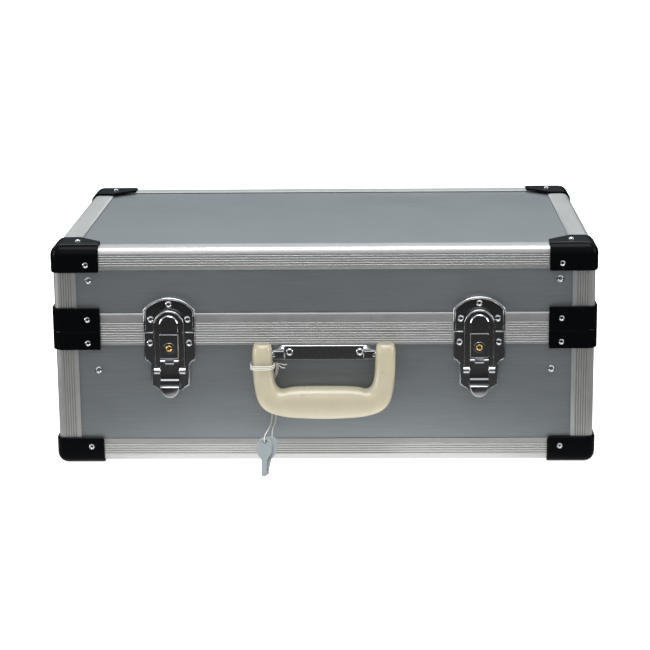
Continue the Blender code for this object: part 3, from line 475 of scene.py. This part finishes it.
def thumb_pad():
    """Upright pad with the outline of the lever's finger tab, to press it with the thumb."""
    half, reach, middle = 0.0086, 0.0104, 0.0766
    back, front = 0.0080, 0.0103
    turns = [math.radians(degrees) for degrees in range(0, -181, -9)]
    outline = [(half * math.cos(turn), middle + reach * math.sin(turn)) for turn in turns]
    bm = bmesh.new()
    base = bm.faces.new([bm.verts.new(at(u, back, v)) for u, v in outline])
    raised = bmesh.ops.extrude_face_region(bm, geom=[base])["geom"]
    raised_points = [piece for piece in raised if isinstance(piece, bmesh.types.BMVert)]
    bmesh.ops.translate(bm, vec=(0, back - front, 0), verts=raised_points)
    mesh = bpy.data.meshes.new("thumb_pad")
    bm.to_mesh(mesh)
    bm.free()
    scratch = bpy.data.objects.new("thumb_pad", mesh)
    edges = scratch.modifiers.new("edges", "BEVEL")
    edges.width = 0.0008
    edges.segments = 3
    edges.limit_method = "ANGLE"
    edges.angle_limit = math.radians(40)
    return mesh_of(scratch)


def bracket_screws():
    template = screw_mesh(0.0036, 0.0016)
    strap_front, height = 0.0010, 0.1076
    places = [(at(x, strap_front, height), (0, -1, 0), turn) for x, turn in ((-0.0322, 0.75), (0.0330, 0.2))]
    scattered("handle_bracket_screws", template, places, "chrome", "base")


# Rings of each neck from the strap out to the handle's leg: (x, forward, half height, half depth)
NECK_RINGS = (
    (0.0362, 0.0008, 0.0062, 0.0009), (0.0385, 0.0018, 0.0062, 0.0016), (0.0408, 0.0042, 0.0056, 0.0030),
    (0.0430, 0.0074, 0.0047, 0.0040), (0.0450, 0.0092, 0.0042, 0.0041), (0.0472, 0.0095, 0.0041, 0.0041),
)


def bracket_necks():
    """Smooth necks stepping out from the strap's ends to the handle's legs."""
    around = 20
    bm = bmesh.new()
    for side in (-1, 1):
        rings = []
        for x, forward, half_height, half_depth in NECK_RINGS:
            turns = [2 * math.pi * i / around for i in range(around)]
            rings.append([bm.verts.new(at(side * x, forward + half_depth * math.cos(turn),
                                          PIVOT_HEIGHT + half_height * math.sin(turn))) for turn in turns])
        for first, second in zip(rings, rings[1:]):
            for i in range(around):
                j = (i + 1) % around
                bm.faces.new((first[i], first[j], second[j], second[i]))
        bm.faces.new(rings[0])
        bm.faces.new(rings[-1])
    bmesh.ops.recalc_face_normals(bm, faces=bm.faces)
    mesh = bpy.data.meshes.new("bracket_necks")
    bm.to_mesh(mesh)
    bm.free()
    add_piece("handle_bracket_necks", mesh, "chrome", "base", smooth=50)


LEAF_THICK = 0.0015
LEAF_RIVETS = ((-0.0165, 0.0075), (0.0, 0.0060), (0.0165, 0.0075))     # across, in from the leaf's far edge


def hinge_rivets():
    template = screw_mesh(0.0028, 0.0010, crossed=False)
    for side in ("left", "right"):
        for body in ("lid", "base"):
            leaf = f"hinge_{side}_{body}_leaf"
            low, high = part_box(leaf)
            far, inward = (high.z, -1) if body == "lid" else (low.z, 1)
            middle = (low.x + high.x) / 2
            places = [(Vector((middle + dx, BACK_Y + LEAF_THICK, far + inward * dz)), (0, 1, 0), 0.0)
                      for dx, dz in LEAF_RIVETS]
            scattered(f"hinge_{side}_{body}_rivets", template, places, "hinge_steel", body)


# ---- handle -------------------------------------------------------------------------------------
LEG_X = 0.0568
GRIP_FRONT = FACE_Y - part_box("handle_grip")[0].y
# (middle: x, forward and height from the pivot; direction across the section; width; depth)
GRIP_STATIONS = [
    ((LEG_X, 0.0, 0.0100), (1, 0), 0.0140, 0.0110),
    ((LEG_X, 0.0, 0.0080), (1, 0), 0.0185, 0.0185),
    ((LEG_X, 0.0, -0.0010), (1, 0), 0.0192, 0.0215),
    ((LEG_X - 0.0004, 0.0024, -0.0160), (1, -0.02), 0.0190, 0.0195),
    ((LEG_X - 0.0018, 0.0050, -0.0285), (1, -0.06), 0.0200, 0.0215),
    ((LEG_X - 0.0070, 0.0066, -0.0420), (0.75, -0.66), 0.0285, 0.0255),
    ((LEG_X - 0.0210, 0.0067, -0.0438), (0.16, -0.98), 0.0290, 0.0270),
    ((LEG_X - 0.0345, 0.0068, -0.0438), (0.05, -1), 0.0302, 0.0275),
    ((0.0, 0.0068, -0.0443), (0, -1), 0.0316, 0.0280),
]
RING_SHAPE = ((-1, -0.5), (-0.5, -1), (0.5, -1), (1, -0.5), (1, 0.5), (0.5, 1), (-0.5, 1), (-1, 0.5))


def handle():
    """The grip, lofted over its right half and mirrored."""
    bm = bmesh.new()
    rings = []
    for (x, forward, height), across, width, depth in GRIP_STATIONS:
        ring = [at(x + across[0] * u * width / 2, PIVOT_FORWARD + forward + v * depth / 2,
                   PIVOT_HEIGHT + height + across[1] * u * width / 2) for u, v in RING_SHAPE]
        rings.append([bm.verts.new(point) for point in ring])
    for first, second in zip(rings, rings[1:]):
        for i in range(len(first)):
            j = (i + 1) % len(first)
            bm.faces.new((first[i], first[j], second[j], second[i]))
    bm.faces.new(rings[0])
    mesh = bpy.data.meshes.new("handle_half")
    bm.to_mesh(mesh)
    bm.free()
    half = bpy.data.objects.new("handle_half", mesh)
    mirror = half.modifiers.new("other_half", "MIRROR")
    mirror.merge_threshold = 0.0001
    smooth = half.modifiers.new("smooth", "SUBSURF")
    smooth.levels = 3
    smooth.render_levels = 3
    whole = mesh_of(half)
    front = min(vert.co.y for vert in whole.vertices)
    stretch = (GRIP_FRONT - PIVOT_FORWARD) / (PIVOT[1] - front)
    for vert in whole.vertices:
        if vert.co.y < PIVOT[1]:
            vert.co.y = PIVOT[1] + (vert.co.y - PIVOT[1]) * stretch
    piece = add_piece("handle_moulding", whole, "cream_plastic", "handle", smooth=180)
    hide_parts("handle_grip")


# ---- string and keys ----------------------------------------------------------------------------
STRING_RADIUS = 0.0005
# From the knot, down behind the grip, through both keys and back up (x, forward, height).
STRING_ROUTE = [
    (-0.0445, 0.0040, 0.0968), (-0.0444, 0.0016, 0.0916), (-0.0462, 0.0000, 0.0858),
    (-0.0494, -0.0006, 0.0790), (-0.0508, -0.0006, 0.0700), (-0.0504, -0.0004, 0.0600),
    (-0.0494, 0.0008, 0.0515), (-0.0492, 0.0056, 0.0455), (-0.0498, 0.0126, 0.0424),
    (-0.0512, 0.0208, 0.0402), (-0.0528, 0.0286, 0.0388), (-0.0542, 0.0340, 0.0374),
    (-0.0549, 0.0370, 0.0344), (-0.0549, 0.0356, 0.0316), (-0.0547, 0.0332, 0.0303),
    (-0.0536, 0.0316, 0.0296), (-0.0516, 0.0312, 0.0299), (-0.0498, 0.0308, 0.0306),
    (-0.0492, 0.0290, 0.0302), (-0.0488, 0.0266, 0.0300), (-0.0484, 0.0242, 0.0324),
    (-0.0482, 0.0216, 0.0364), (-0.0474, 0.0162, 0.0398), (-0.0458, 0.0096, 0.0428),
    (-0.0454, 0.0034, 0.0474), (-0.0466, 0.0002, 0.0535), (-0.0484, -0.0005, 0.0610),
    (-0.0492, -0.0007, 0.0700), (-0.0478, -0.0006, 0.0790), (-0.0448, 0.0000, 0.0856),
    (-0.0430, 0.0016, 0.0914), (-0.0429, 0.0038, 0.0966),
]


def key_string():
    line = [at(*point) for point in smooth_line(STRING_ROUTE)]
    piece = bpy.data.objects.new("key_cord", tube_curve("key_cord", [line], STRING_RADIUS))
    piece.data.materials.append(finishes["string"])
    bpy.context.scene.collection.objects.link(piece)
    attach(piece, "keys")
    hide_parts("key_string")


WRAP_MIDDLE = (0.0567, 0.0017)       # x, and forward of the handle's axis
WRAP_REACH = (0.0109, 0.0121)        # half width and half depth of a turn
WRAP_TOP = 0.0078                    # below the handle's axis
WRAP_PITCH = 0.0015
WRAP_TURNS = 3
WRAP_POINTS = 28
KNOT = (-0.0440, 0.0046, 0.0972)
KNOT_POINTS = 48


def string_wraps():
    """Three turns of string round the handle's leg, tied in a knot with two loose ends."""
    wrap = []
    for step in range(WRAP_TURNS * WRAP_POINTS + 1):
        angle = 2 * math.pi * step / WRAP_POINTS
        # a rounded rectangle round the leg
        across = math.copysign(abs(math.cos(angle)) ** 0.5, math.cos(angle))
        along = math.copysign(abs(math.sin(angle)) ** 0.5, math.sin(angle))
        wrap.append(at(-WRAP_MIDDLE[0] + WRAP_REACH[0] * across,
                       PIVOT_FORWARD + WRAP_MIDDLE[1] + WRAP_REACH[1] * along,
                       PIVOT_HEIGHT - WRAP_TOP - WRAP_PITCH * step / WRAP_POINTS))
    knot_x, knot_forward, knot_height = KNOT
    knot = []
    for step in range(KNOT_POINTS + 1):
        angle = 4 * math.pi * step / KNOT_POINTS
        swell = 0.0011 + 0.0004 * math.cos(1.5 * angle)
        knot.append(at(knot_x + 0.0007 * math.sin(1.5 * angle), knot_forward + swell * math.cos(angle),
                       knot_height + swell * math.sin(angle)))
    upper = [at(knot_x, knot_forward + 0.0008, knot_height), at(-0.0405, 0.0064, 0.0980),
             at(-0.0375, 0.0072, 0.0971), at(-0.0345, 0.0074, 0.0975)]
    lower = [at(knot_x, knot_forward + 0.0010, knot_height), at(-0.0412, 0.0070, 0.0960),
             at(-0.0392, 0.0080, 0.0946), at(-0.0365, 0.0082, 0.0943)]
    lines = [wrap, knot, smooth_line(upper), smooth_line(lower)]
    scratch = bpy.data.objects.new("string_wraps", tube_curve("string_wraps", lines, STRING_RADIUS))
    piece = add_piece("string_wraps", mesh_of(scratch), "string", "handle", smooth=60)
    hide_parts("key_string_loop")


# ---- studio -------------------------------------------------------------------------------------
def add_light(name, place, size, size_y, energy, target=(0, 0, 0.1), colour=(1, 1, 1)):
    light = bpy.data.lights.new(name, "AREA")
    light.shape = "RECTANGLE"
    light.size = size
    light.size_y = size_y
    light.energy = energy
    light.color = colour
    lamp = bpy.data.objects.new(name, light)
    lamp.location = place
    lamp.rotation_euler = (Vector(target) - Vector(place)).to_track_quat("-Z", "Y").to_euler()
    bpy.context.scene.collection.objects.link(lamp)


def add_world():
    """A sky that is bright in front and overhead, dimmer behind, and dark below the horizon."""
    world = bpy.data.worlds.new("studio")
    world.use_nodes = True
    tree = world.node_tree
    bpy.context.scene.world = world
    place = tree.nodes.new("ShaderNodeTexCoord")
    axes = tree.nodes.new("ShaderNodeSeparateXYZ")
    tree.links.new(place.outputs["Generated"], axes.inputs["Vector"])

    def ramp(axis, stops):
        scaled = tree.nodes.new("ShaderNodeMapRange")
        scaled.inputs["From Min"].default_value = -1
        colours = tree.nodes.new("ShaderNodeValToRGB")
        elements = colours.color_ramp.elements
        while len(elements) < len(stops):
            elements.new(0.5)
        for element, (position, value) in zip(elements, stops):
            element.position = (position + 1) / 2
            element.color = (*value, 1)
        tree.links.new(axes.outputs[axis], scaled.inputs["Value"])
        tree.links.new(scaled.outputs["Result"], colours.inputs["Fac"])
        return colours.outputs["Color"]

    height = ramp("Z", ((-0.04, (0.015,) * 3), (0.04, (0.11, 0.115, 0.12)), (0.2, (0.36, 0.375, 0.39)),
                        (0.6, (1.0,) * 3)))
    depth = ramp("Y", ((-0.3, (1.0,) * 3), (0.9, (0.40, 0.48, 0.53))))
    both = tree.nodes.new("ShaderNodeMix")
    both.data_type = "RGBA"
    both.blend_type = "MULTIPLY"
    both.inputs["Factor"].default_value = 1.0
    tree.links.new(height, both.inputs["A"])
    tree.links.new(depth, both.inputs["B"])
    tree.links.new(both.outputs["Result"], tree.nodes["Background"].inputs["Color"])
    tree.nodes["Background"].inputs["Strength"].default_value = 0.80


def stage_plane(name, mesh, material):
    plane = bpy.data.objects.new(name, mesh)
    mesh.materials.append(material)
    bpy.context.scene.collection.objects.link(plane)
    return plane


def disc(name, radius):
    bm = bmesh.new()
    bmesh.ops.create_circle(bm, cap_ends=True, radius=radius, segments=64)
    mesh = bpy.data.meshes.new(name)
    bm.to_mesh(mesh)
    bm.free()
    return mesh


def add_floor():
    material = bpy.data.materials.new("floor_white")
    material.use_nodes = True
    shader = material.node_tree.nodes["Principled BSDF"]
    shader.inputs["Base Color"].default_value = (0.92, 0.92, 0.92, 1)
    shader.inputs["Roughness"].default_value = 0.9
    shader.inputs["Specular IOR Level"].default_value = 0.1
    shader.inputs["Emission Color"].default_value = (1, 1, 1, 1)
    shader.inputs["Emission Strength"].default_value = 0.9
    floor = stage_plane("floor", disc("floor", 60), material)
    floor.visible_glossy = False


def add_painted_floor_glow():
    """An emitting disc that only reflections see, in place of the floor: a painted pool of light, bright beside
    the case and dark further off.
    """
    glow = bpy.data.materials.new("painted_floor_glow")
    glow.use_nodes = True
    tree = glow.node_tree
    tree.nodes.clear()
    place = tree.nodes.new("ShaderNodeTexCoord")
    length = tree.nodes.new("ShaderNodeVectorMath")
    length.operation = "LENGTH"
    # painted pool of light for reflections: the glow fades with distance from the case
    ramp = tree.nodes.new("ShaderNodeValToRGB")
    elements = ramp.color_ramp.elements
    elements[0].position = 0.22
    elements[0].color = (1.25, 1.25, 1.25, 1)
    elements[1].position = 1.0
    elements[1].color = (0.015, 0.015, 0.015, 1)
    for position, value in ((0.30, 0.60), (0.42, 0.06)):
        element = elements.new(position)
        element.color = (value, value, value, 1)
    emit = tree.nodes.new("ShaderNodeEmission")
    out = tree.nodes.new("ShaderNodeOutputMaterial")
    tree.links.new(place.outputs["Object"], length.inputs[0])
    tree.links.new(length.outputs["Value"], ramp.inputs["Fac"])
    tree.links.new(ramp.outputs["Color"], emit.inputs["Color"])
    tree.links.new(emit.outputs["Emission"], out.inputs["Surface"])
    near = stage_plane("painted_floor_glow", disc("painted_floor_glow", 1.5), glow)
    near.location.z = -0.002
    near.visible_camera = False
    near.visible_diffuse = False
    near.visible_transmission = False
    near.visible_shadow = False


def add_studio():
    add_world()
    add_floor()
    add_painted_floor_glow()
    add_light("top_softbox", (0.1, -0.25, 1.7), 1.5, 1.0, 25, colour=(0.95, 0.98, 1.0))
    add_light("left_softbox", (-1.6, -0.45, 0.5), 0.6, 0.9, 8)
    add_light("right_softbox", (1.7, -0.4, 0.6), 0.5, 0.8, 6)
    add_light("back_softbox", (0.0, 1.7, 1.2), 1.6, 0.8, 4, target=(0, 0, 0.2))
    add_light("front_softbox", (-0.4, -2.2, 1.7), 1.2, 0.8, 3)
    scene = bpy.context.scene
    scene.view_settings.view_transform = "Standard"
    scene.view_settings.look = "None"


dress_cad()
corner_screws()
panel_rivets()
latch_fittings()
bracket_screws()
bracket_necks()
hinge_rivets()
handle()
key_string()
string_wraps()
add_studio()
